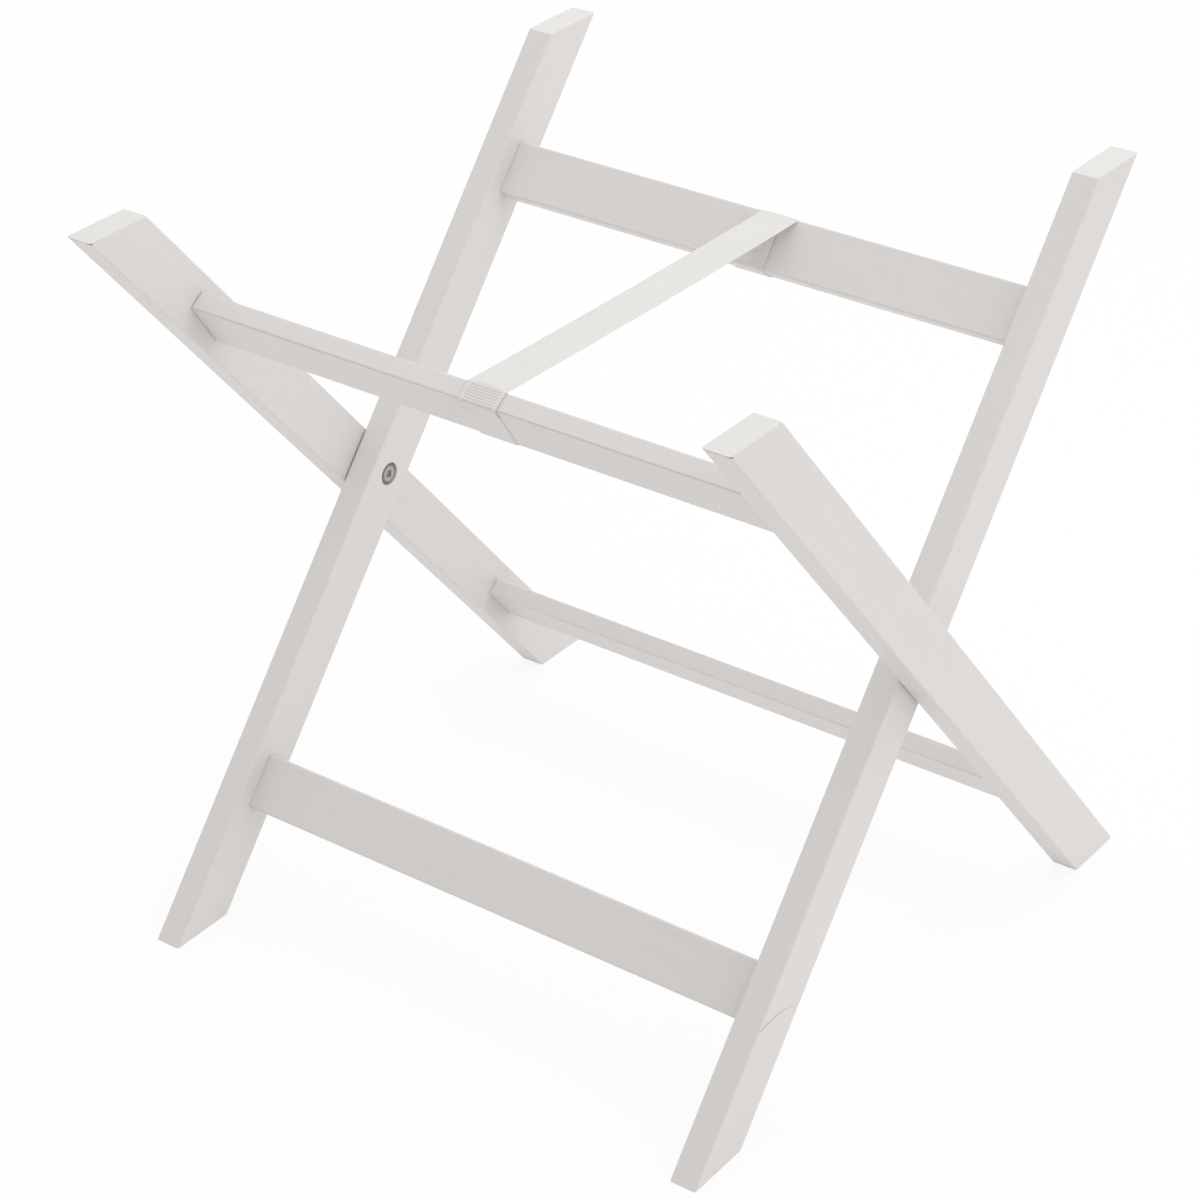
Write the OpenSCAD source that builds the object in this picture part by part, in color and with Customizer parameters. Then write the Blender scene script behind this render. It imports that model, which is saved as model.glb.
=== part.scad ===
// Folding X-frame stand for a bassinet basket.
// Two board frames cross on a pair of pivot bolts, and a webbing strap stops them opening further.
// The origin is on the floor under the pivots. X runs along the rails, Y runs to the back and Z is up.
// The outer frame leans to the front at its top, and the inner frame leans to the back.

/* [Overall] */
// height of the leg tops above the floor
stand_height = 536; // [440:1:640]
// width over the outer faces of the outer legs
overall_width = 505; // [420:1:620]
// lean of every leg from the vertical
lean = 40; // [34:0.5:44]

/* [Boards] */
// width of a leg, in the plane that it folds in
leg_width = 40; // [36:0.5:44]
// thickness of a leg, along X
leg_thick = 20; // [18:0.5:24]
// width of a rail
rail_width = 40; // [36:0.5:44]
// thickness of a rail
rail_thick = 14; // [12:0.5:18]
// radius of every long arris
arris_r = 1.4; // [0.5:0.1:3]
// gap of the glue line at each rail end
glue_line = 0.2; // [0:0.05:0.5]

/* [Rail places] */
// distance along the leg from the pivot to the middle of the inner upper rail
inner_upper_reach = 236; // [190:1:245]
// distance along the leg from the pivot to the middle of the inner lower rail
inner_lower_reach = 236; // [190:1:245]
// distance along the leg from the pivot to the middle of the outer upper rail
outer_upper_reach = 232; // [190:1:245]
// distance along the leg from the pivot to the middle of the outer lower rail
outer_lower_reach = 237; // [190:1:245]
// turn of the outer upper rail towards the vertical, against its legs
outer_upper_turn = 6.7; // [0:0.1:8]
// distance that the inner rails sit below the middle of the leg width
inner_rail_drop = 1.4; // [0:0.1:4]

/* [Pivots] */
// gap between a crossing pair of legs
leg_gap = 1; // [0.8:0.1:2]
// diameter of the bolt shank
bolt_d = 6; // [5:0.5:8]
// running clearance on radius round the shank in the inner leg
pivot_clear = 0.08; // [0.02:0.01:0.1]
// length of the bolt under its head
bolt_length = 30; // [28:1:31]
// diameter of the bolt head
head_d = 15; // [12:0.5:18]
// thickness of the bolt head
head_thick = 2.5; // [2:0.1:3]
// depth of the hex socket, from the face of the head
socket_depth = 3; // [1.5:0.1:4]
// size of the hex socket across its flats
socket_af = 5; // [3:0.5:5]
// diameter of the recess that holds the head
recess_d = 16.8; // [16:0.1:20]
// depth of the face of the head below the face of the leg
head_sink = 0.2; // [0:0.05:0.5]
// diameter of the washer between the legs
washer_d = 18; // [14:0.5:24]
// outside diameter of the threaded insert
insert_d = 10; // [9:0.5:12]
// length of the threaded insert
insert_length = 13; // [12:0.5:14]

/* [Dowels] */
// diameter of a dowel
dowel_d = 6; // [5:0.5:8]
// length of a dowel
dowel_length = 30; // [24:1:32]
// depth that a dowel goes into its leg
dowel_in_leg = 13; // [10:0.5:14]
// distance between the two dowels of one rail end
dowel_pitch = 20; // [14:1:24]

/* [Strap] */
// width of the webbing
strap_width = 30; // [20:1:50]
// thickness of the webbing
strap_thick = 1.3; // [0.8:0.1:2]
// distance of the middle of the strap from the middle of the stand
strap_x = 8; // [-40:1:40]
// how far the sewn lap runs down the front of the outer upper rail
lap_down = 8; // [2:0.5:20]
// length of the sewn tail on the front of the inner upper rail
tail_length = 24; // [10:0.5:32]

/* [Fits] */
// gap between touching pieces that move against each other
seat_gap = 0.3; // [0.2:0.05:0.5]
// clearance on radius round dowels and inserts
glue_clear = 0.05; // [0.02:0.01:0.1]
// free depth past the end of a dowel or an insert in its hole
hole_extra = 1; // [0.5:0.1:2]

/* [Hidden] */
$fn = 64;

left = -1;
right = 1;
hex_sides = 6;
pivot_z = stand_height / 2;
blank_length = 2 * stand_height;
// the planes of the legs along X, measured from the middle of the stand
outer_leg_x = overall_width / 2 - leg_thick / 2;
outer_face_x = overall_width / 2 - leg_thick;
inner_leg_x = outer_face_x - leg_gap - leg_thick / 2;
inner_face_x = outer_face_x - leg_gap - leg_thick;
// turns about X that carry a board's long axis onto each frame
outer_turn = lean;
inner_turn = -lean;
// how far each frame's rails sit off the middle of its legs, along local Y
outer_drop = 0;
inner_drop = inner_rail_drop;
// the upper outer rail's turn is against its legs' own
rail_turn = -outer_upper_turn;
// the pivot hardware, as distances from the middle of the stand
head_face_x = inner_face_x + head_sink;
head_seat_x = head_face_x + head_thick;
bolt_tip_x = head_seat_x + bolt_length;
recess_depth = head_sink + head_thick + seat_gap;
washer_thick = leg_gap - seat_gap;
washer_bore_r = bolt_d / 2 + seat_gap;
insert_bore_r = bolt_d / 2 + glue_clear;
insert_hole_depth = insert_length + hole_extra;
head_edge = 0.5;
tip_edge = 0.6;
// the dowel holes
dowel_hole_r = dowel_d / 2 + glue_clear;
dowel_in_rail = dowel_length - dowel_in_leg;
dowel_edge = 0.8;
// the webbing passes round a rail at this radius about each arris centre
wrap_in_r = arris_r + seat_gap;
wrap_out_r = wrap_in_r + strap_thick;
lap_out_r = wrap_out_r + strap_thick;
throat = 1.2;
// the run lies this much inside its tangents, and the lap's bend goes on this many degrees under it
tuck = 0.02;
bend_extra = 8;
// the centres of a rail's arrises, from the middle of its section
arris_across = rail_thick / 2 - arris_r;
arris_along = rail_width / 2 - arris_r;

paint = [0.86, 0.85, 0.84];
steel = [0.74, 0.75, 0.76];
nylon = [0.92, 0.92, 0.90];
zinc = [0.70, 0.69, 0.62];
beech = [0.80, 0.66, 0.48];
webbing = [0.91, 0.91, 0.89];

// Section of a board with rounded arrises.
module board_section(x_size, y_size, r) {
  union() {
    square([x_size - 2 * r, y_size], center = true);
    square([x_size, y_size - 2 * r], center = true);
    for (sx = [-1, 1]) {
      for (sy = [-1, 1]) {
        translate([sx * (x_size / 2 - r), sy * (y_size / 2 - r)])
          circle(r = r);
      }
    }
  }
}

// Moves its child from the leg's own axes, with Z along the leg, to the pivot of a frame.
module on_leg(frame_turn, reach) {
  translate([0, 0, pivot_z])
    rotate([frame_turn, 0, 0])
      translate([0, 0, reach])
        children();
}

// The middle of a rail: reach is signed along the leg, and turn is against the leg about X.
module on_rail(frame_turn, reach, turn) {
  drop = frame_turn > 0 ? outer_drop : inner_drop;
  on_leg(frame_turn, reach)
    translate([0, drop, 0])
      rotate([turn, 0, 0])
        children();
}

// A board cut level at the floor and at the top.
module leg_board(frame_turn, x_mid) {
  intersection() {
    translate([x_mid, 0, 0])
      on_leg(frame_turn, 0)
        linear_extrude(height = blank_length, center = true)
          board_section(leg_thick, leg_width, arris_r);
    translate([x_mid - leg_thick, -blank_length / 2, 0])
      cube([2 * leg_thick, blank_length, stand_height]);
  }
}

// A bar along X between two distances from the middle of the stand, on the given side.
module bar_x(side, x_from, x_to, r) {
  translate([side * (x_from + x_to) / 2, 0, 0])
    rotate([0, 90, 0])
      cylinder(h = x_to - x_from, r = r, center = true);
}

// The two dowel holes of one rail end, in the rail's own axes.
module dowel_holes(side, x_from, x_to) {
  for (place = [-dowel_pitch / 2, dowel_pitch / 2]) {
    translate([0, 0, place])
      bar_x(side, x_from, x_to, dowel_hole_r);
  }
}

// One dowel with chamfered ends, in the rail's own axes.
module dowel(side, face_x) {
  x_in = face_x - dowel_in_rail;
  x_out = face_x + dowel_in_leg;
  bar_x(side, x_in + dowel_edge, x_out - dowel_edge, dowel_d / 2);
  for (end = [[x_in + dowel_edge / 2, -1], [x_out - dowel_edge / 2, 1]]) {
    translate([side * end[0], 0, 0])
      rotate([0, side * end[1] * 90, 0])
        cylinder(h = dowel_edge, r1 = dowel_d / 2, r2 = dowel_d / 2 - dowel_edge, center = true);
  }
}

// All four dowels of one rail.
module rail_dowels(frame_turn, reach, turn, face_x) {
  on_rail(frame_turn, reach, turn) {
    for (side = [left, right]) {
      for (place = [-dowel_pitch / 2, dowel_pitch / 2]) {
        translate([0, 0, place])
          dowel(side, face_x);
      }
    }
  }
}

// A rail with its dowel holes. Its ends stand a glue line clear of the legs.
module rail_board(frame_turn, reach, turn, face_x) {
  end_x = face_x - glue_line;
  on_rail(frame_turn, reach, turn) {
    difference() {
      rotate([0, 90, 0])
        linear_extrude(height = 2 * end_x, center = true)
          board_section(rail_width, rail_thick, arris_r);
      for (side = [left, right]) {
        dowel_holes(side, face_x - dowel_in_rail - hole_extra, face_x);
      }
    }
  }
}

// The dowel holes that one leg needs for one rail.
module leg_dowel_holes(frame_turn, reach, turn, side, face_x) {
  on_rail(frame_turn, reach, turn)
    dowel_holes(side, face_x - hole_extra, face_x + dowel_in_leg + hole_extra);
}

// An outer leg: blind holes for the threaded insert and for the dowels.
module outer_leg(side) {
  color(paint)
    difference() {
      leg_board(outer_turn, side * outer_leg_x);
      translate([0, 0, pivot_z])
        bar_x(side, outer_face_x - hole_extra, outer_face_x + insert_hole_depth, insert_d / 2 + glue_clear);
      leg_dowel_holes(outer_turn, outer_upper_reach, rail_turn, side, outer_face_x);
      leg_dowel_holes(outer_turn, -outer_lower_reach, 0, side, outer_face_x);
    }
}

// An inner leg: the pivot bore, the recess for the bolt head and blind holes for the dowels.
module inner_leg(side) {
  color(paint)
    difference() {
      leg_board(inner_turn, side * inner_leg_x);
      translate([0, 0, pivot_z]) {
        bar_x(side, inner_face_x - hole_extra, outer_face_x, bolt_d / 2 + pivot_clear);
        bar_x(side, inner_face_x - hole_extra, inner_face_x + recess_depth, recess_d / 2);
      }
      leg_dowel_holes(inner_turn, inner_upper_reach, 0, side, inner_face_x);
      leg_dowel_holes(inner_turn, -inner_lower_reach, 0, side, inner_face_x);
    }
}

module outer_left_leg() {
  outer_leg(left);
}

module outer_right_leg() {
  outer_leg(right);
}

module inner_left_leg() {
  inner_leg(left);
}

module inner_right_leg() {
  inner_leg(right);
}

module outer_upper_rail() {
  color(paint)
    rail_board(outer_turn, outer_upper_reach, rail_turn, outer_face_x);
}

module outer_lower_rail() {
  color(paint)
    rail_board(outer_turn, -outer_lower_reach, 0, outer_face_x);
}

module inner_upper_rail() {
  color(paint)
    rail_board(inner_turn, inner_upper_reach, 0, inner_face_x);
}

module inner_lower_rail() {
  color(paint)
    rail_board(inner_turn, -inner_lower_reach, 0, inner_face_x);
}

// A flat-headed bolt with a hex socket. Its head is inside and its tip is in the outer leg.
module pivot_bolt(side) {
  color(steel)
    translate([0, 0, pivot_z])
      difference() {
        union() {
          translate([side * (head_face_x + head_edge / 2), 0, 0])
            rotate([0, side * 90, 0])
              cylinder(h = head_edge, r1 = head_d / 2 - head_edge, r2 = head_d / 2, center = true);
          bar_x(side, head_face_x + head_edge, head_seat_x, head_d / 2);
          bar_x(side, head_seat_x - head_edge, bolt_tip_x - tip_edge, bolt_d / 2);
          translate([side * (bolt_tip_x - tip_edge / 2), 0, 0])
            rotate([0, side * 90, 0])
              cylinder(h = tip_edge, r1 = bolt_d / 2, r2 = bolt_d / 2 - tip_edge, center = true);
        }
        translate([side * (head_face_x + (socket_depth - head_edge) / 2), 0, 0])
          rotate([0, side * 90, 0])
            cylinder(h = socket_depth + head_edge, r = socket_af / 2 / cos(180 / hex_sides), $fn = hex_sides, center = true);
      }
}

module left_pivot_bolt() {
  pivot_bolt(left);
}

module right_pivot_bolt() {
  pivot_bolt(right);
}

// The spacer washer lies against the outer leg.
module pivot_washer(side) {
  color(nylon)
    translate([0, 0, pivot_z])
      difference() {
        bar_x(side, outer_face_x - washer_thick, outer_face_x, washer_d / 2);
        bar_x(side, outer_face_x - leg_gap, outer_face_x + leg_gap, washer_bore_r);
      }
}

module left_pivot_washer() {
  pivot_washer(left);
}

module right_pivot_washer() {
  pivot_washer(right);
}

// A sleeve glued flush into the outer leg. The bolt's thread is in it.
module threaded_insert(side) {
  color(zinc)
    translate([0, 0, pivot_z])
      difference() {
        bar_x(side, outer_face_x, outer_face_x + insert_length, insert_d / 2);
        bar_x(side, outer_face_x - leg_gap, outer_face_x + insert_length + leg_gap, insert_bore_r);
      }
}

module left_threaded_insert() {
  threaded_insert(left);
}

module right_threaded_insert() {
  threaded_insert(right);
}

module outer_upper_dowels() {
  color(beech)
    rail_dowels(outer_turn, outer_upper_reach, rail_turn, outer_face_x);
}

module outer_lower_dowels() {
  color(beech)
    rail_dowels(outer_turn, -outer_lower_reach, 0, outer_face_x);
}

module inner_upper_dowels() {
  color(beech)
    rail_dowels(inner_turn, inner_upper_reach, 0, inner_face_x);
}

module inner_lower_dowels() {
  color(beech)
    rail_dowels(inner_turn, -inner_lower_reach, 0, inner_face_x);
}

// The outside of a ring of webbing round a rail's section, in the rail's own plane.
module wrap_outside() {
  grow = 2 * (seat_gap + strap_thick);
  board_section(rail_thick + grow, rail_width + grow, wrap_out_r);
}

// The space inside that ring.
module wrap_inside() {
  grow = 2 * seat_gap;
  board_section(rail_thick + grow, rail_width + grow, wrap_in_r);
}

// A point [y, z] of the stand from a point [across, along] of a rail's section.
function rail_point(frame_turn, drop, reach, turn, across, along) =
  let (
    y = drop + across * cos(turn) - along * sin(turn),
    z = reach + across * sin(turn) + along * cos(turn)
  )
  [y * cos(frame_turn) - z * sin(frame_turn), pivot_z + y * sin(frame_turn) + z * cos(frame_turn)];

// Moves a rail's section from its own plane to its place in the plane of Y and Z.
module on_rail_section(frame_turn, drop, reach, turn) {
  translate([0, pivot_z])
    rotate(frame_turn)
      translate([drop, reach])
        rotate(turn)
          children();
}

// The outside of a second layer of webbing over that ring.
module lap_outside() {
  grow = 2 * (seat_gap + 2 * strap_thick);
  board_section(rail_thick + grow, rail_width + grow, lap_out_r);
}

// The second layer at the front: from the bend under the run, over the top edge and down the front.
module lap_section(bend) {
  far = rail_width + rail_thick;
  intersection() {
    lap_outside();
    polygon([
      [arris_across - far, rail_width / 2 - lap_down],
      [arris_across, rail_width / 2 - lap_down],
      [arris_across, arris_along],
      [arris_across + far * sin(bend), arris_along + far * cos(bend)],
      [arris_across - far, arris_along + far]
    ]);
  }
}

// The second layer at the back: the turned tail, low on the front of the inner upper rail.
module tail_section() {
  tail_from = -arris_along;
  translate([-rail_thick / 2 - seat_gap - 2 * strap_thick, tail_from])
    square([rail_thick / 2, tail_length]);
}

// The taut run, drawn from the arris centre that it leaves. The sewing closes the throat under its start.
module run_section(run_length) {
  translate([0, wrap_out_r - tuck])
    square([run_length, strap_thick]);
  translate([0, wrap_out_r - throat])
    square([throat, strap_thick]);
}

// The strap seen from the end: a ring at each upper rail, the taut run and the sewn lap at the front.
module strap_section() {
  front = rail_point(outer_turn, outer_drop, outer_upper_reach, rail_turn, arris_across, arris_along);
  back = rail_point(inner_turn, inner_drop, inner_upper_reach, 0, -arris_across, arris_along);
  span = norm(back - front);
  slope = atan2(back[1] - front[1], back[0] - front[0]);
  // the run leaves the lap's outside at the front and the ring's outside at the back
  dive = asin((lap_out_r - wrap_out_r) / span);
  difference() {
    union() {
      on_rail_section(outer_turn, outer_drop, outer_upper_reach, rail_turn) {
        wrap_outside();
        lap_section(outer_turn + rail_turn - slope + dive + bend_extra);
      }
      on_rail_section(inner_turn, inner_drop, inner_upper_reach, 0) {
        wrap_outside();
        tail_section();
      }
      translate(front)
        rotate(slope - dive)
          run_section(span * cos(dive));
    }
    on_rail_section(outer_turn, outer_drop, outer_upper_reach, rail_turn)
      wrap_inside();
    on_rail_section(inner_turn, inner_drop, inner_upper_reach, 0)
      wrap_inside();
  }
}

module strap() {
  color(webbing)
    translate([strap_x - strap_width / 2, 0, 0])
      rotate([90, 0, 90])
        linear_extrude(height = strap_width)
          strap_section();
}

outer_left_leg();
outer_right_leg();
outer_upper_rail();
outer_lower_rail();
inner_left_leg();
inner_right_leg();
inner_upper_rail();
inner_lower_rail();
left_pivot_bolt();
right_pivot_bolt();
left_pivot_washer();
right_pivot_washer();
left_threaded_insert();
right_threaded_insert();
outer_upper_dowels();
outer_lower_dowels();
inner_upper_dowels();
inner_lower_dowels();
strap();
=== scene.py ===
"""Folding stand for a bassinet basket: two painted board frames, their pivots and a webbing strap.

The origin is on the floor under the pivots. X runs along the rails, Y to the back and Z up, in metres.
"""

from __future__ import annotations

import logging
import math
from dataclasses import dataclass, field
from enum import Enum
from typing import Callable, Sequence, Union

import bmesh
import bpy
from mathutils import Matrix, Vector


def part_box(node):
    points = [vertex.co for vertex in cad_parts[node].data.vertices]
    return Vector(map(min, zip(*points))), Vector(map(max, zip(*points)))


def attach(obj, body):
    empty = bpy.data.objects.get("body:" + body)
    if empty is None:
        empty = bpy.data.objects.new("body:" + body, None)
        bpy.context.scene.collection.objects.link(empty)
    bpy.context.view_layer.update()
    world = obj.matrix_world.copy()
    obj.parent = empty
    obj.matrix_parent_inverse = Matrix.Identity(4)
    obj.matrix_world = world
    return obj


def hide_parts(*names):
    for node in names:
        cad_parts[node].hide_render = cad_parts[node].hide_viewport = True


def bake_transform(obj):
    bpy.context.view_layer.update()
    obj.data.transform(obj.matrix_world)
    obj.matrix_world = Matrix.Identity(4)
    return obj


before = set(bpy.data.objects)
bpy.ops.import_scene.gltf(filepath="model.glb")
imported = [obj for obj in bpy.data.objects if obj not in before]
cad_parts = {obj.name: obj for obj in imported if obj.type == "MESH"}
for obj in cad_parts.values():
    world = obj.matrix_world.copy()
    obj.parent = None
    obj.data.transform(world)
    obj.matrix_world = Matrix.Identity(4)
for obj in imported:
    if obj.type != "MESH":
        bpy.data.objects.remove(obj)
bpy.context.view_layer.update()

MM = 0.001
LOG = logging.getLogger("bassinet_stand")

Pair = tuple[float, float]
Triple = tuple[float, float, float]
Colour = tuple[float, float, float, float]


class Side(Enum):
    """The two ends of the rails, by the sign of X."""

    LEFT = -1
    RIGHT = 1

    @property
    def word(self) -> str:
        """The side's word in the pieces' names."""
        return self.name.lower()


class Body(Enum):
    """The bodies that the pieces ride on."""

    OUTER = "outer_frame"
    INNER = "inner_frame"


class Slot(Enum):
    """The record's material slots for the pieces made here; this script does not assign them."""

    WOOD = "painted_wood"
    STEEL = "steel"
    WEBBING = "webbing"


def colour(red: float, green: float, blue: float) -> Colour:
    """A display colour as the linear one that sockets hold.

    Args:
        red: red from 0 to 255.
        green: green from 0 to 255.
        blue: blue from 0 to 255.

    Returns:
        The linear colour with an alpha of 1.
    """

    def linear(level: float) -> float:
        """One level from 0 to 255, made linear."""
        part = level / 255.0
        return part / 12.92 if part <= 0.04045 else ((part + 0.055) / 1.055) ** 2.4

    return linear(red), linear(green), linear(blue), 1.0


# ---------------------------------------------------------------- shader maths


def math_method(operation: str, swapped: bool = False) -> Callable[[Signal, Value], Signal]:
    """A method of Signal that adds a Math node for two values.

    Args:
        operation: the Math node's operation.
        swapped: True where the other value comes first.

    Returns:
        The method.
    """

    def method(self: Signal, other: Value) -> Signal:
        """The node's result."""
        return self.maths(operation, *((other, self) if swapped else (self, other)))

    return method


class Signal:
    """One output socket of a material; arithmetic on it adds Math nodes."""

    def __init__(self, shader: Shader, socket: bpy.types.NodeSocket) -> None:
        """Wraps an output socket of a material's builder."""
        self.shader = shader
        self.socket = socket

    def maths(self, operation: str, *values: Value) -> Signal:
        """The result of a Math node on these values, in order."""
        inputs = {place: value for place, value in enumerate(values)}
        return self.shader.node("ShaderNodeMath", {"operation": operation}, inputs)

    __add__ = math_method("ADD")
    __radd__ = math_method("ADD", swapped=True)
    __sub__ = math_method("SUBTRACT")
    __rsub__ = math_method("SUBTRACT", swapped=True)
    __mul__ = math_method("MULTIPLY")
    __rmul__ = math_method("MULTIPLY", swapped=True)
    __truediv__ = math_method("DIVIDE")
    __pow__ = math_method("POWER")
    larger = math_method("MAXIMUM")
    smaller = math_method("MINIMUM")

    def __abs__(self) -> Signal:
        """abs(self)."""
        return self.maths("ABSOLUTE", self)

    def floor(self) -> Signal:
        """The whole part below self."""
        return self.maths("FLOOR", self)

    def sine(self) -> Signal:
        """The sine of self in radians."""
        return self.maths("SINE", self)

    def step(self, start: float, end: float) -> Signal:
        """A smooth step, 0 before start and 1 after end.

        Args:
            start: the value where it leaves 0.
            end: the value where it reaches 1.

        Returns:
            The step.
        """
        settings = {"interpolation_type": "SMOOTHSTEP", "clamp": True}
        inputs = {"Value": self, "From Min": start, "From Max": end}
        return self.shader.node("ShaderNodeMapRange", settings, inputs)


Value = Union[Signal, float]


class Shader:
    """Builds the nodes of one material, or of the world."""

    def __init__(self, name: str, world: bool = False) -> None:
        """Makes an empty material or world.

        Args:
            name: its name.
            world: True for a world.
        """
        self.world = world
        self.material = (bpy.data.worlds if world else bpy.data.materials).new(name)
        self.material.use_nodes = True
        self.tree = self.material.node_tree
        self.tree.nodes.clear()

    def node(
        self,
        kind: str,
        settings: dict[str, object] | None = None,
        inputs: dict[int | str, object] | None = None,
        output: int | str = 0,
    ) -> Signal:
        """Adds a node, sets it and links it.

        Args:
            kind: the node's type.
            settings: its properties, set first.
            inputs: values or signals by socket name or place.
            output: the name or place of the output to return.

        Returns:
            That output.
        """
        made = self.tree.nodes.new(kind)
        for name, value in (settings or {}).items():
            setattr(made, name, value)
        for name, value in (inputs or {}).items():
            if isinstance(value, Signal):
                self.tree.links.new(value.socket, made.inputs[name])
            else:
                made.inputs[name].default_value = value
        return Signal(self, made.outputs[output])

    def mix(self, factor: Value, first: object, second: object) -> Signal:
        """A mix of two colours.

        Args:
            factor: how much of the second shows.
            first: a colour or a signal.
            second: a colour or a signal.

        Returns:
            The mixed colour.
        """
        inputs = {0: factor, 6: first, 7: second}
        return self.node("ShaderNodeMix", {"data_type": "RGBA"}, inputs, 2)

    def stretch(self, vector: Signal, scale: Triple) -> Signal:
        """A vector times a scale along each axis."""
        return self.node("ShaderNodeVectorMath", {"operation": "MULTIPLY"}, {0: vector, 1: scale})

    def noise(self, vector: Signal, scale: Triple | float, detail: float = 2.0) -> Signal:
        """Noise from about 0 to 1.

        Args:
            vector: the place.
            scale: cells in each metre along each axis, or one number for all three.
            detail: the octaves.

        Returns:
            The noise.
        """
        each = scale if isinstance(scale, tuple) else (scale, scale, scale)
        inputs = {"Vector": self.stretch(vector, each), "Scale": 1.0, "Detail": detail}
        return self.node("ShaderNodeTexNoise", {}, inputs)

    def split(self, vector: Signal) -> tuple[Signal, Signal, Signal]:
        """The three parts of a vector."""
        made = self.node("ShaderNodeSeparateXYZ", {}, {0: vector}).socket.node
        return tuple(Signal(self, made.outputs[part]) for part in range(3))

    def place(self) -> Signal:
        """The place on the object, in metres."""
        return self.node("ShaderNodeTexCoord", output="Object")

    def bump(self, height: Signal, distance: float, strength: float = 1.0) -> Signal:
        """A normal that follows a height.

        Args:
            height: the height from 0 to 1.
            distance: what a height of 1 stands for, in metres.
            strength: how much of it shows.

        Returns:
            The normal.
        """
        inputs = {"Height": height, "Distance": distance, "Strength": strength}
        return self.node("ShaderNodeBump", {}, inputs)

    def surface(self, **inputs: object) -> bpy.types.Material:
        """Ends the material in a Principled shader.

        Args:
            inputs: its sockets, with an underscore for a space.

        Returns:
            The material.
        """
        sockets = {name.replace("_", " "): value for name, value in inputs.items()}
        shader = self.node("ShaderNodeBsdfPrincipled", {}, sockets)
        self.node_output(shader)
        return self.material

    def node_output(self, shader: Signal) -> None:
        """Links a shader to the surface of the material or the world."""
        end = self.tree.nodes.new("ShaderNodeOutputWorld" if self.world else "ShaderNodeOutputMaterial")
        self.tree.links.new(shader.socket, end.inputs["Surface"])


# ---------------------------------------------------------------- finishes


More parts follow.
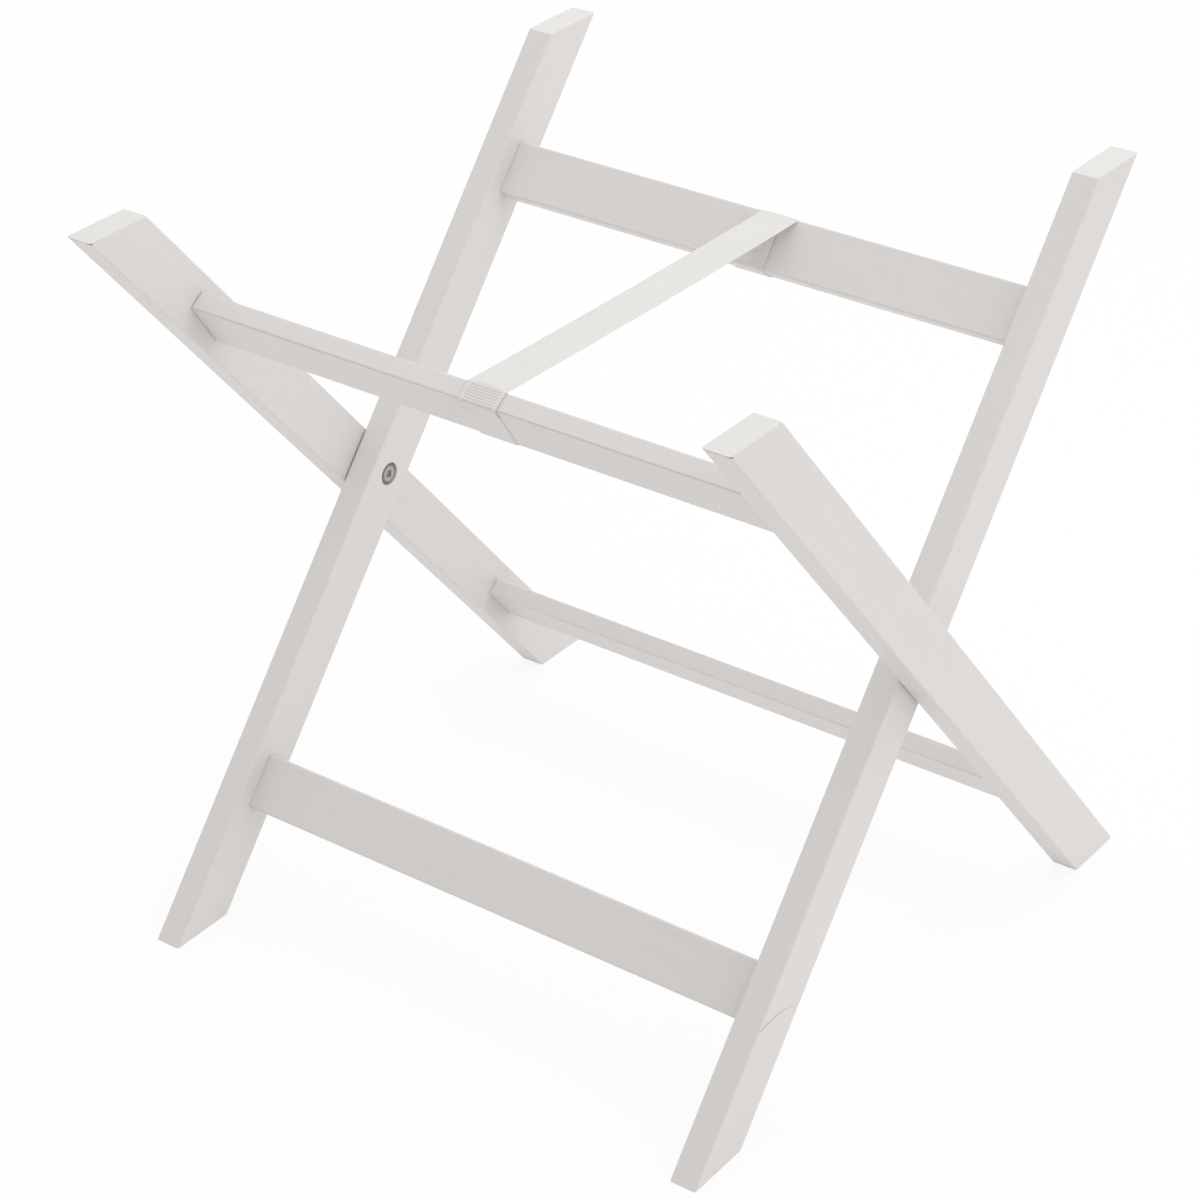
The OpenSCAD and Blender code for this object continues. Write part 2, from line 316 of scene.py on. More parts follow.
@dataclass(frozen=True)
class PaintedWood:
    """Satin paint on a board: a hint of grain, a roller's stipple, thin arrises and pores in cut ends."""

    name: str
    thick: float
    width: float
    top: float
    # How much painted shade lies in a band under the top cut's acute front tip.
    tip_shade: float = 0.0
    check_at: float | None = None
    pin_at: float | None = None
    # How much painted shade lies along the rail's top arrises.
    arris_shade: float = 0.0
    tone: Colour = colour(223, 219, 216)
    thin: Colour = colour(214, 208, 203)
    grain: Colour = colour(215, 210, 206)
    end_tone: Colour = colour(222, 221, 217)
    dark: Colour = colour(74, 64, 58)
    rough: float = 0.46

    def make(self) -> bpy.types.Material:
        """The material. It reads the board's own coordinates: thickness, width and length."""
        s = Shader(self.name)
        board = s.node("ShaderNodeAttribute", {"attribute_name": "board"}, output="Vector")
        across, wide, along = s.split(board)
        _, _, height = s.split(s.place())
        fibre = s.noise(board, (620.0, 620.0, 9.0), 4.0)
        pores = s.noise(board, (2400.0, 1500.0, 55.0), 2.0).step(0.60, 0.74)
        stipple = s.noise(board, 760.0, 2.0)
        cloudy = s.noise(board, (16.0, 16.0, 7.0), 3.0)
        patchy = s.noise(board, (210.0, 210.0, 48.0), 3.0)
        edge = (self.thick / 2 - abs(across)).larger(self.width / 2 - abs(wide))
        arris = 1.0 - edge.step(0.2 * MM, 2.0 * MM)
        rubbed = arris * patchy.step(0.42, 0.72)
        cut = height.step(self.top - 1.1 * MM, self.top - 0.5 * MM) + (1.0 - height.step(0.5 * MM, 1.1 * MM))
        rings_at = s.stretch(board, (330.0, 120.0, 0.0))
        rings_in = {"Vector": rings_at, "Scale": 0.55, "Distortion": 3.2, "Detail": 2.0}
        rings = s.node("ShaderNodeTexWave", {"wave_type": "RINGS"}, rings_in, "Fac")
        end_pores = s.noise(board, (1900.0, 1900.0, 0.0), 1.0).step(0.56, 0.70)
        tone = s.mix(fibre.step(0.46, 0.80) * 0.20, self.tone, self.grain)
        tone = s.mix(pores * 0.16, tone, self.grain)
        tone = s.mix(cloudy.step(0.30, 0.72) * 0.10, tone, self.thin)
        tone = s.mix(rubbed * 0.30, tone, self.thin)
        tone = s.mix(cut * 0.85, tone, self.end_tone)
        tone = s.mix(cut * (rings * 0.10 + end_pores * 0.22), tone, self.thin)
        flaw_and_shade = self.flaws_and_shade(s, board, across, wide, along, height)
        relief = fibre * 0.30 + stipple * 0.34 - pores * 0.22 - cut * (end_pores * 0.55 + rings * 0.20)
        # The paint darkens here with painted shade under the tips and along the arrises, and at the hairline
        # check and the pin hole.
        if flaw_and_shade is not None:
            tone = s.mix(flaw_and_shade, tone, self.dark)
            relief = relief - flaw_and_shade
        rough = self.rough + (cloudy - 0.5) * 0.12 + (stipple - 0.5) * 0.06 + arris * 0.04 + cut * 0.12
        return s.surface(Base_Color=tone, Roughness=rough, Normal=s.bump(relief, 0.09 * MM, 0.8))

    def flaws_and_shade(
        self, s: Shader, board: Signal, across: Signal, wide: Signal, along: Signal, height: Signal
    ) -> Signal | None:
        """Painted shade under a cut's tip and along an arris, and the marks of a hairline check and a pin
        hole in the paint.

        Args:
            s: the material's builder.
            board: the board's own coordinates.
            across: the place in its thickness.
            wide: the place in its width.
            along: the place along it.
            height: the height above the floor.

        Returns:
            The painted shade and the marks from 0 to 1, or None where this paint has none.
        """
        found: list[Signal] = []
        # Painted shade: a band just under the top cut's acute front tip, patchy with noise and darkest at the
        # corner.
        if self.tip_shade:
            band = height.step(self.top - 1.75 * MM, self.top - 1.25 * MM)
            band = band * (1.0 - height.step(self.top - 0.75 * MM, self.top - 0.35 * MM))
            front = 1.0 - wide.step(1.2 * MM - self.width / 2, 2.0 * MM - self.width / 2)
            corner = across.step(self.thick / 2 - 3.2 * MM, self.thick / 2 - 1.6 * MM)
            tip_shade_breakup = s.noise(board, (420.0, 420.0, 60.0), 2.0).step(0.25, 0.60)
            found.append(band * front * (tip_shade_breakup * 0.5 + corner * 0.5) * self.tip_shade)
        if self.check_at is not None:
            line = self.check_at + wide * 0.62 - wide * wide * 14.5
            off = abs(along - line + (s.noise(board, (0.0, 700.0, 0.0), 2.0) - 0.5) * (0.5 * MM))
            hair = 1.0 - (off / (2.0 - wide.step(-17.0 * MM, -2.0 * MM))).step(0.08 * MM, 0.34 * MM)
            ends = wide.step(-19.0 * MM, -18.0 * MM) * (1.0 - wide.step(-6.0 * MM, 15.0 * MM) * 0.75)
            ends = ends * (1.0 - wide.step(13.0 * MM, 15.0 * MM))
            face = across.step(self.thick / 2 - 1.5 * MM, self.thick / 2 - 0.5 * MM)
            found.append(hair * ends * face)
        # Painted shade along the top arrises, patchy with noise.
        if self.arris_shade:
            deeper = (self.thick / 2 - abs(across)).larger(self.width / 2 - wide)
            arris_shade_breakup = s.noise(board, (90.0, 90.0, 60.0), 2.0).step(0.15, 0.55) * 0.4 + 0.6
            found.append((1.0 - deeper.step(0.45 * MM, 0.85 * MM)) * arris_shade_breakup * self.arris_shade)
        if self.pin_at is not None:
            away = ((along - self.pin_at) ** 2.0 + across * across) ** 0.5
            top_face = wide.step(self.width / 2 - 1.0 * MM, self.width / 2 - 0.3 * MM)
            found.append((1.0 - away.step(0.25 * MM, 0.75 * MM)) * top_face * 0.35)
        return sum(found[1:], found[0]) if found else None


@dataclass(frozen=True)
class Steel:
    """Bright zinc plate on turned steel, matt and darker in its socket, with painted shade round the head's
    outer edge.
    """

    name: str
    face_x: float
    pivot_z: float
    tone: Colour = colour(188, 185, 181)
    # A darker, less shiny tone for cloudy patches in the plate and for the painted shade on the head's outer
    # edge.
    dull_and_shade: Colour = colour(98, 94, 90)
    deep: Colour = colour(150, 146, 141)
    rough: float = 0.36

    def make(self) -> bpy.types.Material:
        """The material, with its turning marks round the pivot's axis."""
        s = Shader(self.name)
        at = s.place()
        along, back, up = s.split(at)
        rise = up - self.pivot_z
        radius = (back * back + rise * rise) ** 0.5
        turning = (radius * 9500.0 + s.noise(at, 900.0) * 1.6).sine()
        cloudy = s.noise(at, 420.0, 3.0)
        scratch = s.noise(at, (300.0, 5200.0, 900.0), 2.0).step(0.58, 0.76)
        depth = (abs(along) - self.face_x).step(0.15 * MM, 1.2 * MM)
        # Painted shade on the head's chamfer and rim, which sit down in the leg's recess.
        bevel_shade = radius.step(5.2 * MM, 6.3 * MM) * 0.75
        bright = s.mix(cloudy.step(0.35, 0.75) * 0.45, self.tone, self.dull_and_shade)
        tone = s.mix(bevel_shade, bright, self.dull_and_shade)
        tone = s.mix((depth * 0.9 + scratch * 0.18).smaller(1.0), tone, self.deep)
        rough = self.rough + cloudy * 0.16 + depth * 0.18
        relief = turning * 0.25 + cloudy * 0.5 - scratch * 0.5
        metal = 1.0 - depth * 0.85
        return s.surface(Base_Color=tone, Metallic=metal, Roughness=rough, Normal=s.bump(relief, 0.02 * MM))


@dataclass(frozen=True)
class Moulded:
    """Moulded nylon: a cloudy tint and a fine eroded skin."""

    name: str
    tone: Colour = colour(226, 225, 219)
    deep: Colour = colour(203, 201, 192)

    def make(self) -> bpy.types.Material:
        """The material."""
        s = Shader(self.name)
        at = s.place()
        skin = s.noise(at, 2600.0, 3.0)
        cloudy = s.noise(at, 180.0, 2.0)
        tone = s.mix(cloudy.step(0.3, 0.75) * 0.6, self.tone, self.deep)
        return s.surface(Base_Color=tone, Roughness=0.38 + skin * 0.2, Normal=s.bump(skin, 0.03 * MM))


@dataclass(frozen=True)
class CastZinc:
    """Die-cast zinc alloy: grey with a grainy skin and darker flow marks."""

    name: str
    tone: Colour = colour(176, 172, 160)
    dark: Colour = colour(118, 114, 104)

    def make(self) -> bpy.types.Material:
        """The material."""
        s = Shader(self.name)
        at = s.place()
        grain = s.noise(at, 1800.0, 4.0)
        flow = s.noise(at, (90.0, 700.0, 700.0), 3.0)
        tone = s.mix(flow.step(0.35, 0.7) * 0.6 + grain.step(0.6, 0.8) * 0.25, self.tone, self.dark)
        rough = 0.42 + grain * 0.2
        return s.surface(Base_Color=tone, Metallic=1.0, Roughness=rough, Normal=s.bump(grain, 0.04 * MM))


@dataclass(frozen=True)
class BareBeech:
    """Bare beech dowel: flecked, with its grain along X and glue-darkened streaks."""

    name: str
    tone: Colour = colour(206, 172, 130)
    dark: Colour = colour(164, 124, 82)

    def make(self) -> bpy.types.Material:
        """The material."""
        s = Shader(self.name)
        at = s.place()
        fibre = s.noise(at, (30.0, 1500.0, 1500.0), 4.0)
        fleck = s.noise(at, (320.0, 2600.0, 2600.0), 2.0).step(0.60, 0.70)
        cloudy = s.noise(at, (25.0, 160.0, 160.0), 2.0)
        tone = s.mix(fibre.step(0.35, 0.75) * 0.7, self.tone, self.dark)
        tone = s.mix(fleck * 0.5 + cloudy.step(0.5, 0.8) * 0.2, tone, self.dark)
        rough = 0.58 + fibre * 0.2
        return s.surface(Base_Color=tone, Roughness=rough, Normal=s.bump(fibre - fleck * 0.4, 0.08 * MM))


@dataclass(frozen=True)
class Webbing:
    """Flat woven webbing: yarns over and under, thick selvedges, fuzz, and sewn ribs where its stitches run;
    painted shade darkens the weave's gaps and the grooves between the ribs.
    """

    name: str
    width: float
    tone: Colour = colour(227, 226, 222)
    shade: Colour = colour(202, 199, 193)
    # The painted shade in the grooves between the rows of stitches.
    sewn: Colour = colour(205, 198, 192)
    pressed: Colour = colour(226, 222, 219)
    warp_pitch: float = 0.85 * MM
    weft_pitch: float = 0.62 * MM

    def make(self) -> bpy.types.Material:
        """The material. It reads the strap's own UV map, in metres across and along."""
        s = Shader(self.name)
        flat = s.node("ShaderNodeUVMap", {"uv_map": "webbing"})
        across, along, _ = s.split(flat)
        groove_shade = s.node("ShaderNodeAttribute", {"attribute_name": "sewn"}, output="Fac")
        tight = s.node("ShaderNodeAttribute", {"attribute_name": "tight"}, output="Fac")
        warp = across / self.warp_pitch
        weft = along / self.weft_pitch
        over = 0.5 + 0.5 * ((weft + warp.floor()) * math.pi).sine()
        yarn = abs((warp * math.pi).sine()) ** 0.5
        twist = 0.5 + 0.5 * ((warp * 2.0 + weft * 1.4) * (2.0 * math.pi)).sine()
        weave = yarn * (0.45 + 0.55 * over)
        fuzz = s.noise(flat, (2800.0, 2300.0, 0.0), 3.0)
        slub = s.noise(flat, (900.0, 26.0, 0.0), 2.0)
        cloudy = s.noise(flat, (60.0, 28.0, 0.0), 2.0)
        edge = (self.width / 2 - abs(across)).step(0.5 * MM, 1.7 * MM)
        tone = s.mix(tight, self.tone, self.pressed)
        tone = s.mix((1.0 - weave).step(0.35, 0.95) * (0.55 - tight * 0.45), tone, self.shade)
        tone = s.mix(slub.step(0.45, 0.75) * 0.18 + cloudy.step(0.4, 0.75) * 0.10, tone, self.shade)
        # Painted shade in the grooves between the rows of stitches, read from the mesh's sewn attribute.
        tone = s.mix(groove_shade * 0.6, tone, self.sewn)
        woven = weave * 0.8 + twist * 0.12
        relief = woven * (1.0 - tight * 0.7) + fuzz * 0.22 + (1.0 - edge) * 0.3
        rough = 0.80 + fuzz * 0.12
        normal = s.bump(relief, 0.16 * MM, 0.75)
        sheen = {"Sheen_Weight": 0.12, "Sheen_Roughness": 0.5}
        return s.surface(Base_Color=tone, Roughness=rough, Normal=normal, **sheen)


@dataclass(frozen=True)
class Thread:
    """Twisted sewing thread."""

    name: str
    tone: Colour = colour(242, 238, 234)
    shade: Colour = colour(218, 212, 206)

    def make(self) -> bpy.types.Material:
        """The material."""
        s = Shader(self.name)
        at = s.place()
        across, back, _ = s.split(at)
        twist = 0.5 + 0.5 * ((across + back * 0.8) * 9000.0).sine()
        fuzz = s.noise(at, 3200.0, 2.0)
        tone = s.mix(twist * 0.35 + fuzz.step(0.5, 0.8) * 0.3, self.tone, self.shade)
        rough = 0.6 + fuzz * 0.2
        return s.surface(Base_Color=tone, Roughness=rough, Normal=s.bump(twist + fuzz * 0.5, 0.05 * MM))


# ---------------------------------------------------------------- mesh helpers


def finish_mesh(obj: bpy.types.Object, sharp: float) -> None:
    """Smooth shading with sharp edges and normals weighted to the wide faces.

    Args:
        obj: the mesh object.
        sharp: the angle in degrees past which an edge is sharp.
    """
    mesh = obj.data
    bm = bmesh.new()
    bm.from_mesh(mesh)
    for face in bm.faces:
        face.smooth = True
    for edge in bm.edges:
        edge.smooth = len(edge.link_faces) == 2 and edge.calc_face_angle(0.0) < math.radians(sharp)
    bm.to_mesh(mesh)
    bm.free()
    weighted = obj.modifiers.new("weighted", "WEIGHTED_NORMAL")
    weighted.keep_sharp = True
    bake_modifiers(obj)


def bake_modifiers(obj: bpy.types.Object) -> None:
    """Replaces an object's mesh by its evaluated one, and removes its modifiers.

    Args:
        obj: the mesh object.
    """
    bpy.context.view_layer.update()
    graph = bpy.context.evaluated_depsgraph_get()
    made = bpy.data.meshes.new_from_object(obj.evaluated_get(graph))
    obj.modifiers.clear()
    obj.data = made
    made.name = obj.name


def new_object(name: str, mesh: bpy.types.Mesh) -> bpy.types.Object:
    """A mesh object at the origin of the scene.

    Args:
        name: its name.
        mesh: its mesh.

    Returns:
        The object.
    """
    obj = bpy.data.objects.new(name, mesh)
    bpy.context.scene.collection.objects.link(obj)
    return obj


def ring_shell(
    name: str,
    rings: Sequence[Sequence[Vector]],
    closed: bool = False,
) -> bpy.types.Mesh:
    """A closed mesh through rings of points, all with the same count.

    Args:
        name: the mesh's name.
        rings: the rings in order.
        closed: True where the last ring joins the first; otherwise both ends are capped.

    Returns:
        The mesh, with its faces outwards.
    """
    bm = bmesh.new()
    rows = [[bm.verts.new(point) for point in ring] for ring in rings]
    count = len(rows[0])
    pairs = list(zip(rows, rows[1:])) + ([(rows[-1], rows[0])] if closed else [])
    for low, high in pairs:
        for place in range(count):
            after = (place + 1) % count
            bm.faces.new((low[place], low[after], high[after], high[place]))
    if not closed:
        bm.faces.new(list(reversed(rows[0])))
        bm.faces.new(rows[-1])
    bmesh.ops.recalc_face_normals(bm, faces=bm.faces)
    mesh = bpy.data.meshes.new(name)
    bm.to_mesh(mesh)
    bm.free()
    return mesh


def rounded_section(first: float, second: float, radius: float, inset: float, steps: int) -> list[Pair]:
    """The outline of a board's section.

    Args:
        first: its size along the first axis.
        second: its size along the second axis.
        radius: the arris radius.
        inset: how far the outline lies inside the section.
        steps: the faces round each arris.

    Returns:
        The points in order.
    """
    points: list[Pair] = []
    for quarter in range(4):
        turn = math.radians(90 * quarter)
        mid_a = (first / 2 - radius) * (1 if quarter in (0, 3) else -1)
        mid_b = (second / 2 - radius) * (1 if quarter in (0, 1) else -1)
        for part in range(steps + 1):
            angle = turn + math.radians(90) * part / steps
            reach = radius - inset
            points.append((mid_a + reach * math.cos(angle), mid_b + reach * math.sin(angle)))
    return points


# ---------------------------------------------------------------- board frames


def own_length(number: int, along: float) -> float:
    """A place along a numbered board in its own coordinates, which no two boards share."""
    return along + 1.37 * number


@dataclass(frozen=True)
class Board:
    """One board: its section, its own axes and its cut ends."""

    name: str
    body: Body
    axes: Matrix
    thick: float
    width: float
    low: float
    high: float
    slope: float = 0.0
    arris: float = 1.4 * MM
    easing: float = 0.45 * MM
    steps: int = 6
    number: int = 0

    def ring(self, end: float, turn: float, towards: float) -> list[Vector]:
        """One outline near an end.

        Args:
            end: the end's distance along the board.
            turn: 0 where the easing leaves the side, 90 where it meets the end, in degrees.
            towards: 1 at the high end, -1 at the low one.

        Returns:
            Its points in the stand's axes.
        """
        inset = self.easing * (1 - math.cos(math.radians(turn)))
        back = self.easing * (1 - math.sin(math.radians(turn)))
        outline = rounded_section(self.thick, self.width, self.arris, inset, self.steps)
        return [self.axes @ Vector((a, b, end + self.slope * b - towards * back)) for a, b in outline]

    def build(self, cutter: bpy.types.Object | None = None) -> bpy.types.Object:
        """Makes the board.

        Args:
            cutter: an object that is cut from it and then removed.

        Returns:
            The board's object, with its own coordinates in the attribute "board".
        """
        turns = (90, 60, 30, 0)
        rings = [self.ring(self.low, turn, -1) for turn in turns]
        rings += [self.ring(self.high, turn, 1) for turn in reversed(turns)]
        obj = new_object(self.name, ring_shell(self.name, rings))
        if cutter is not None:
            cut = obj.modifiers.new("cut", "BOOLEAN")
            cut.object, cut.operation, cut.solver = cutter, "DIFFERENCE", "EXACT"
            bake_modifiers(obj)
            bpy.data.objects.remove(cutter)
        finish_mesh(obj, sharp=38)
        back = self.axes.inverted()
        own = obj.data.attributes.new("board", "FLOAT_VECTOR", "POINT")
        for vertex in obj.data.vertices:
            place = back @ vertex.co
            place.z = own_length(self.number, place.z)
            own.data[vertex.index].vector = place
        return obj


@dataclass
class BoardFrame:
    """One of the two crossing frames: a pair of legs and an upper and a lower rail."""

    kind: str
    body: Body
    lean: float
    outer_face: float
    inner_face: float
    height: float
    paint_leg: PaintedWood
    paint_rail: PaintedWood
    marked: dict[str, PaintedWood]
    upper_reach: float
    lower_reach: float
    upper_turn: float = 0.0
    drop: float = 0.0
    leg_width: float = 40 * MM
    rail_width: float = 40 * MM
    rail_thick: float = 14 * MM
    glue_line: float = 0.07 * MM
    open_joint: float = 0.5 * MM
    recess_radius: float = 8.4 * MM
    recess_depth: float = 3.0 * MM
    bore_radius: float = 3.08 * MM
    recess_facets: int = 64
    first_number: int = 0

    def pivot(self) -> Vector:
        """The middle of the pivots."""
        return Vector((0, 0, self.height / 2))

    def turned(self, degrees: float) -> Matrix:
        """A turn about X through the pivots."""
        return Matrix.Translation(self.pivot()) @ Matrix.Rotation(math.radians(degrees), 4, "X")

    def rail_axes(self, reach: float, turn: float) -> Matrix:
        """A rail's own axes: thickness, width, and its length along X.

        Args:
            reach: the rail's middle along the legs, from the pivots.
            turn: its turn against the legs in degrees.

        Returns:
            The axes as a matrix.
        """
        section = self.turned(self.lean) @ Matrix.Translation((0, self.drop, reach))
        section = section @ Matrix.Rotation(math.radians(turn), 4, "X")
        swap = Matrix(((0, 0, 1, 0), (1, 0, 0, 0), (0, 1, 0, 0), (0, 0, 0, 1)))
        return section @ swap

    def recess(self, side: Side) -> bpy.types.Object:
        """The cutter for a bolt's recess and bore in an inner leg.

        Args:
            side: which leg.

        Returns:
            The cutter's object.
        """
        lip = 0.35 * MM
        profile = (
            (self.recess_radius + 2 * lip, lip),
            (self.recess_radius + lip, 0.0),
            (self.recess_radius + 0.3 * lip, -0.45 * lip),
            (self.recess_radius, -1.4 * lip),
            (self.recess_radius, -self.recess_depth),
            (self.bore_radius, -self.recess_depth),
            (self.bore_radius, self.inner_face - self.outer_face - 2 * MM),
        )
        rings = []
        spokes = [math.tau * part / self.recess_facets for part in range(self.recess_facets)]
        for radius, rise in profile:
            rings.append([self.from_face(side, rise, radius, spoke) for spoke in spokes])
        return new_object("recess_cutter", ring_shell("recess_cutter", rings))

    def from_face(self, side: Side, rise: float, radius: float, angle: float) -> Vector:
        """A point round the pivot, measured from the inner face of a leg.

        Args:
            side: which leg.
            rise: the distance out of the face, towards the middle of the stand.
            radius: the distance from the pivot's axis.
            angle: the angle round it.

        Returns:
            The point.
        """
        x = side.value * (self.inner_face - rise)
        return Vector((x, radius * math.cos(angle), self.height / 2 + radius * math.sin(angle)))

    def legs(self) -> list[Board]:
        """The two legs, cut level at the floor and at the top."""
        slant = math.radians(self.lean)
        reach = self.height / 2 / math.cos(slant)
        made = []
        for side in Side:
            middle = side.value * (self.outer_face + self.inner_face) / 2
            axes = Matrix.Translation((middle, 0, 0)) @ self.turned(self.lean)
            made.append(
                Board(
                    name=f"{self.kind}_{side.word}_leg_board",
                    body=self.body,
                    axes=axes,
                    thick=self.outer_face - self.inner_face,
                    width=self.leg_width,
                    low=-reach,
                    high=reach,
                    slope=-math.tan(slant),
                    number=self.first_number + len(made),
                )
            )
        return made

    def rails(self) -> list[Board]:
        """The upper and the lower rail, a glue line short of the legs and open at one joint."""
        end = self.inner_face - self.glue_line
        open_end = self.inner_face - self.open_joint
        places = (("upper", self.upper_reach, self.upper_turn), ("lower", -self.lower_reach, 0.0))
        return [
            Board(
                name=f"{self.kind}_{level}_rail_board",
                body=self.body,
                axes=self.rail_axes(reach, turn),
                thick=self.rail_thick,
                width=self.rail_width,
                low=-open_end if self.body is Body.OUTER and level == "upper" else -end,
                high=end,
                easing=0.3 * MM,
                number=self.first_number + 2 + order,
            )
            for order, (level, reach, turn) in enumerate(places)
        ]

    def build(self) -> None:
        """Makes the four boards, each in place of its CAD node."""
        leg_paint, rail_paint = self.paint_leg.make(), self.paint_rail.make()
        own = {name: paint.make() for name, paint in self.marked.items()}
        sides = {f"{self.kind}_{side.word}_leg_board": side for side in Side}
        for board in self.legs() + self.rails():
            leg = board.name in sides
            bored = leg and self.body is Body.INNER
            obj = board.build(self.recess(sides[board.name]) if bored else None)
            paint = own.get(board.name, leg_paint if leg else rail_paint)
            dress(obj, paint, self.body, Slot.WOOD)
            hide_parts(board.name.removesuffix("_board"))


def dress(obj: bpy.types.Object, material: bpy.types.Material, body: Body | None, slot: Slot) -> None:
    """Gives a piece its material, and its body where it rides on one.

    Args:
        obj: the piece.
        material: its material.
        body: its body, or None for a piece that rides on none.
        slot: not used.
    """
    obj.data.materials.clear()
    obj.data.materials.append(material)
    if body is not None:
        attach(obj, body.value)
    LOG.info("%s: %d faces", obj.name, len(obj.data.polygons))


# ---------------------------------------------------------------- pivots


@dataclass
class PivotHardware:
    """The two pivot bolts, with the washers, inserts and dowels that the frames hide."""

    height: float
    leg_face: float
    sink: float = 0.2 * MM
    head_radius: float = 7.5 * MM
    head_thick: float = 2.5 * MM
    shank_radius: float = 3.0 * MM
    shank_length: float = 30 * MM
    socket_flats: float = 5 * MM
    socket_depth: float = 1.5 * MM
    facets: int = 72
    turns: dict[Side, float] = field(default_factory=lambda: {Side.LEFT: 17.0, Side.RIGHT: 41.0})

    def hexagon(self, angle: float) -> float:
        """The socket's radius at an angle.

        Args:
            angle: the angle in radians.

        Returns:
            The radius.
        """
        sixth = math.radians(60)
        off = (angle % sixth) - sixth / 2
        return self.socket_flats / 2 / math.cos(off)

    def profile(self) -> list[tuple[Callable[[float], float], float]]:
        """The bolt's rings from the socket's bottom out and down to the tip: radius by angle, and height."""

        def round_ring(radius: float) -> Callable[[float], float]:
            """A ring of one radius."""
            return lambda angle: radius

        def socket_ring(share: float) -> Callable[[float], float]:
            """A share of the socket's hexagon."""
            return lambda angle: share * self.hexagon(angle)

        corner = self.socket_flats / 2 / math.cos(math.radians(30))
        head, shank = self.head_radius, self.shank_radius
        under = -self.head_thick
        tip = under - self.shank_length
        return [
            (socket_ring(0.12), -self.socket_depth - 0.25 * MM),
            (socket_ring(0.96), -self.socket_depth),
            (socket_ring(1.0), -self.socket_depth + 0.1 * MM),
            (socket_ring(1.0), -0.34 * MM),
            (round_ring(corner + 0.10 * MM), -0.10 * MM),
            (round_ring(corner + 0.32 * MM), 0.0),
            (round_ring(0.68 * head), 0.0),
            (round_ring(0.72 * head), -0.05 * MM),
            (round_ring(0.86 * head), -0.42 * MM),
            (round_ring(0.97 * head), -0.85 * MM),
            (round_ring(head), -1.10 * MM),
            (round_ring(head), under + 0.15 * MM),
            (round_ring(head - 0.15 * MM), under),
            (round_ring(shank + 0.3 * MM), under),
            (round_ring(shank), under - 0.3 * MM),
            (round_ring(shank), tip + 0.6 * MM),
            (round_ring(shank - 0.6 * MM), tip),
        ]

    def bolt(self, side: Side) -> bpy.types.Object:
        """One bolt, its head to the middle of the stand.

        Args:
            side: which pivot.

        Returns:
            The bolt.
        """
        face = side.value * (self.leg_face + self.sink)
        rings = []
        for radius, rise in self.profile():
            ring = []
            for part in range(self.facets):
                angle = math.tau * part / self.facets
                turn = angle + math.radians(self.turns[side])
                reach = radius(angle)
                x = face - side.value * rise
                z = self.height / 2 + reach * math.sin(turn)
                ring.append(Vector((x, reach * math.cos(turn), z)))
            rings.append(ring)
        name = f"{side.word}_pivot_socket_bolt"
        obj = new_object(name, ring_shell(name, rings))
        finish_mesh(obj, sharp=34)
        return obj

    def build(self) -> None:
        """Makes the bolts, and dresses the CAD pieces that stay."""
        steel = Steel("zinc_plated_steel", self.leg_face + self.sink, self.height / 2).make()
        for side in Side:
            obj = self.bolt(side)
            dress(obj, steel, Body.OUTER, Slot.STEEL)
            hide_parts(f"{side.word}_pivot_bolt")
        kept = (
            (Moulded("moulded_nylon").make(), [f"{side.word}_pivot_washer" for side in Side]),
            (CastZinc("cast_zinc").make(), [f"{side.word}_threaded_insert" for side in Side]),
            (
                BareBeech("bare_beech").make(),
                [f"{kind}_{level}_dowels" for kind in ("outer", "inner") for level in ("upper", "lower")],
            ),
        )
        for material, names in kept:
            for name in names:
                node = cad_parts[name]
                node.data.materials.clear()
                node.data.materials.append(material)
                LOG.info("%s: CAD piece kept", name)


# ---------------------------------------------------------------- strap


@dataclass(frozen=True)
class Station:
    """One place along the webbing: its middle, its outward side, its ribs and its tightness on the wood."""

    at: Vector
    out: Vector
    along: float
    ribs: float = 0.0
    tight: float = 0.0
    shift: float = 0.0


@dataclass
class RailSection:
    """A rail's section in the plane of Y and Z, which the webbing wraps."""

    axes: Matrix
    thick: float
    width: float
    arris: float

    def point(self, across: float, along: float) -> Vector:
        """A point of the section, in the stand's axes at X 0."""
        return self.axes @ Vector((across, along, 0))

    def direction(self, degrees: float) -> Vector:
        """A direction in the section, by its angle from the thickness axis."""
        angle = math.radians(degrees)
        return self.axes.to_3x3() @ Vector((math.cos(angle), math.sin(angle), 0))

    def corner(self, across_sign: int, along_sign: int) -> Vector:
        """The middle of one arris."""
        across, along = self.thick / 2 - self.arris, self.width / 2 - self.arris
        return self.point(across_sign * across, along_sign * along)

    def angle_of(self, normal: Vector) -> float:
        """The angle of a direction in the section, in degrees from the thickness axis."""
        local = self.axes.to_3x3().inverted() @ normal
        return math.degrees(math.atan2(local.y, local.x))


